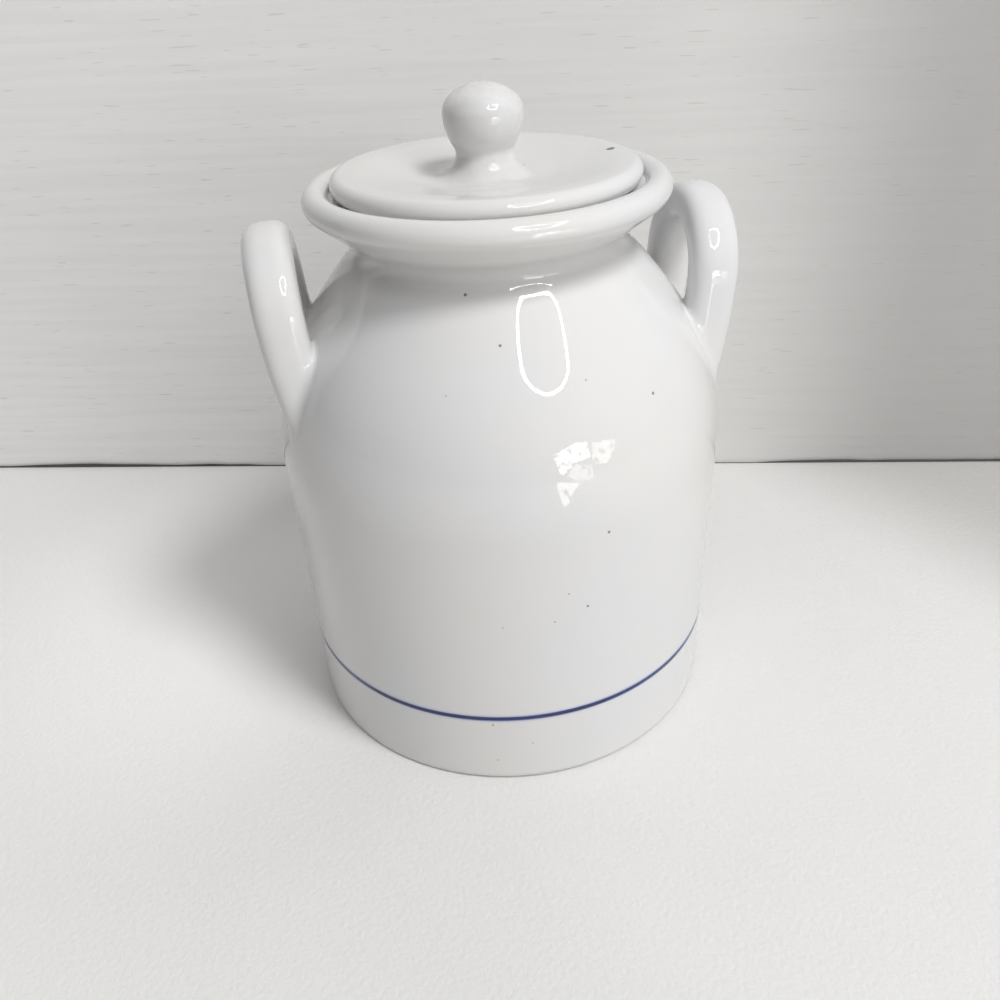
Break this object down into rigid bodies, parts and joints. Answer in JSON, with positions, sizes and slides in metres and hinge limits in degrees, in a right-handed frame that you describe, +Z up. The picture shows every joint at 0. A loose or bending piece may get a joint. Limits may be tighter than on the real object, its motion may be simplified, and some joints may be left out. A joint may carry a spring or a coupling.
{
  "type": "ceramic canister",
  "caption": "A glazed pottery canister: a round-shouldered jar with a flared collar, two strap handles, a painted line round its foot and a drop-in lid with a ball knob.",
  "frame": {"origin": "centre of the circle on which the foot ring stands", "axes": "+Z up along the jar's own axis, +X through the handle at the right, -Y towards the side seen in the picture"},
  "size_m": [0.16, 0.1588, 0.2212],
  "materials": {
    "white_glaze": "gloss",
    "blue_glaze": "gloss"
  },
  "bodies": {
    "jar": {"jar_body": "white_glaze", "blue_line": "blue_glaze", "handle_left": "white_glaze", "handle_right": "white_glaze"},
    "lid": {"lid": "white_glaze", "lid_knob": "white_glaze"}
  },
  "joints": [
    {"name": "lid_lift", "type": "slide", "parent": "jar", "child": "lid", "axis": [0, 0, 1], "range_m": [0, 0.06]}
  ]
}
